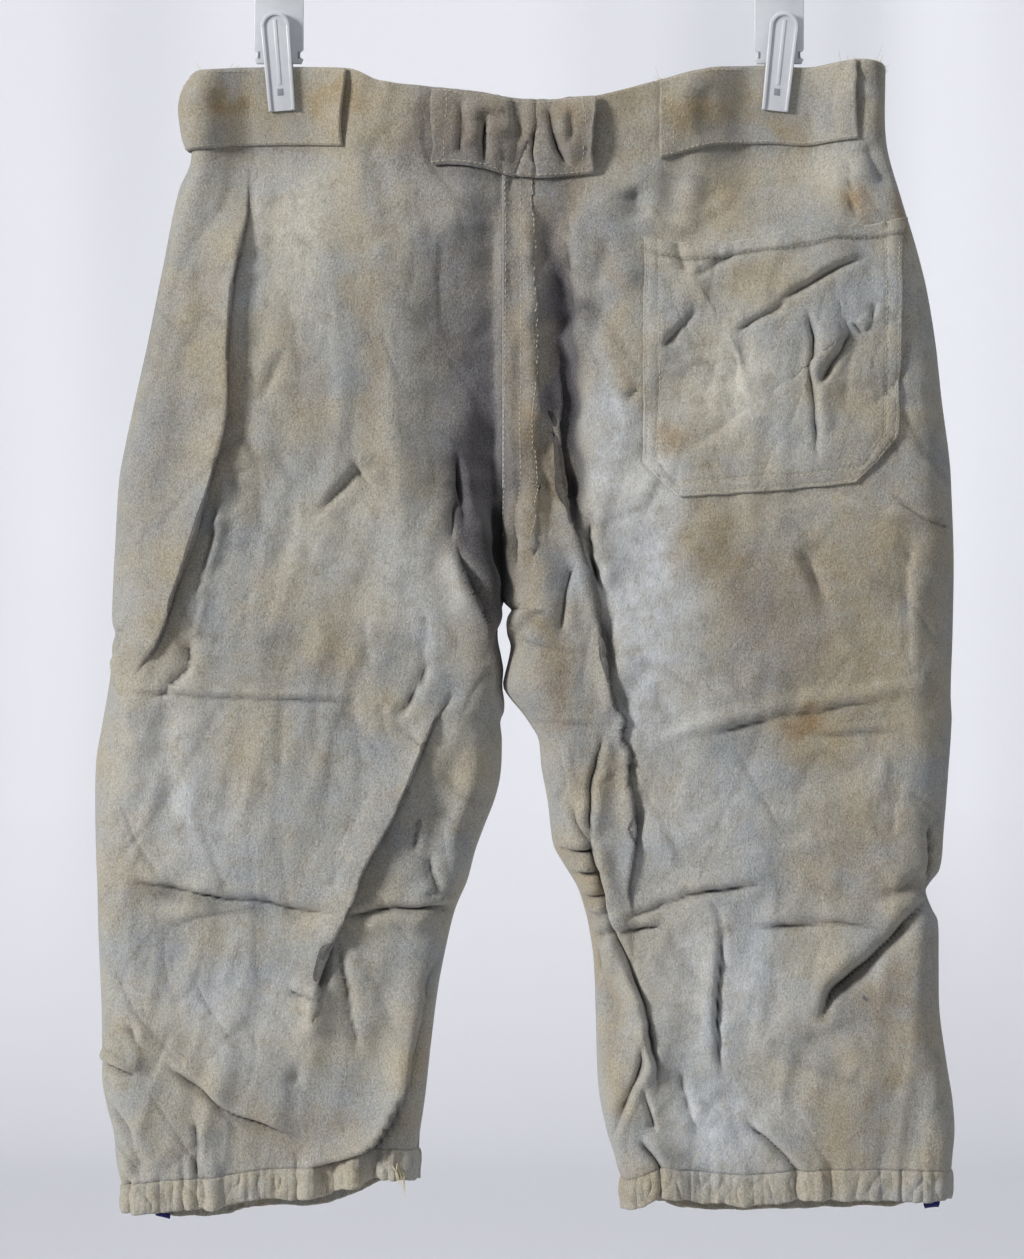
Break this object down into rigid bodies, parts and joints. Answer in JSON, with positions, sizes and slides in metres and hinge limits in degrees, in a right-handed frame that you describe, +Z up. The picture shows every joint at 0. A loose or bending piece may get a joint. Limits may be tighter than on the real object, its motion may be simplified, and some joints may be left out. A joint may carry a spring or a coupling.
{
  "type": "baseball pants on a clip hanger",
  "caption": "Knickers-length wool flannel baseball pants with belt tunnels, hip pocket and gathered hems, hung by the waist from a clip hanger.",
  "frame": {"origin": "inside top of the hanger's hook, where the rail bears", "axes": "+Z up; the garment's back faces -Y and its front +Y; +X is the wearer's right"},
  "size_m": [0.558, 0.0786, 0.924],
  "materials": {
    "flannel": "napped grey wool flannel, worn and stained",
    "casing": "gathered wool flannel with a cream tint",
    "braid": "narrow navy woven braid",
    "button": "dark brown button, satin",
    "plastic": "white moulded plastic, slightly translucent",
    "steel": "plated steel wire"
  },
  "bodies": {
    "root": {"back_left": "flannel", "back_right": "flannel", "front_left": "flannel", "front_right": "flannel", "belt_tunnel_left": "flannel", "belt_tunnel_back": "flannel", "belt_tunnel_right": "flannel", "belt_tunnel_front": "flannel", "hip_pocket": "flannel", "fly_placket": "flannel", "hem_casing_left": "casing", "hem_casing_right": "casing", "side_braid_left": "braid", "side_braid_right": "braid", "waist_button": "button", "hanger_hook": "steel", "hook_collar": "plastic", "hanger_bar": "plastic", "clip_left_yoke": "plastic", "clip_left_back_jaw": "plastic", "clip_left_front_jaw": "plastic", "clip_right_yoke": "plastic", "clip_right_back_jaw": "plastic", "clip_right_front_jaw": "plastic"}
  },
  "joints": []
}
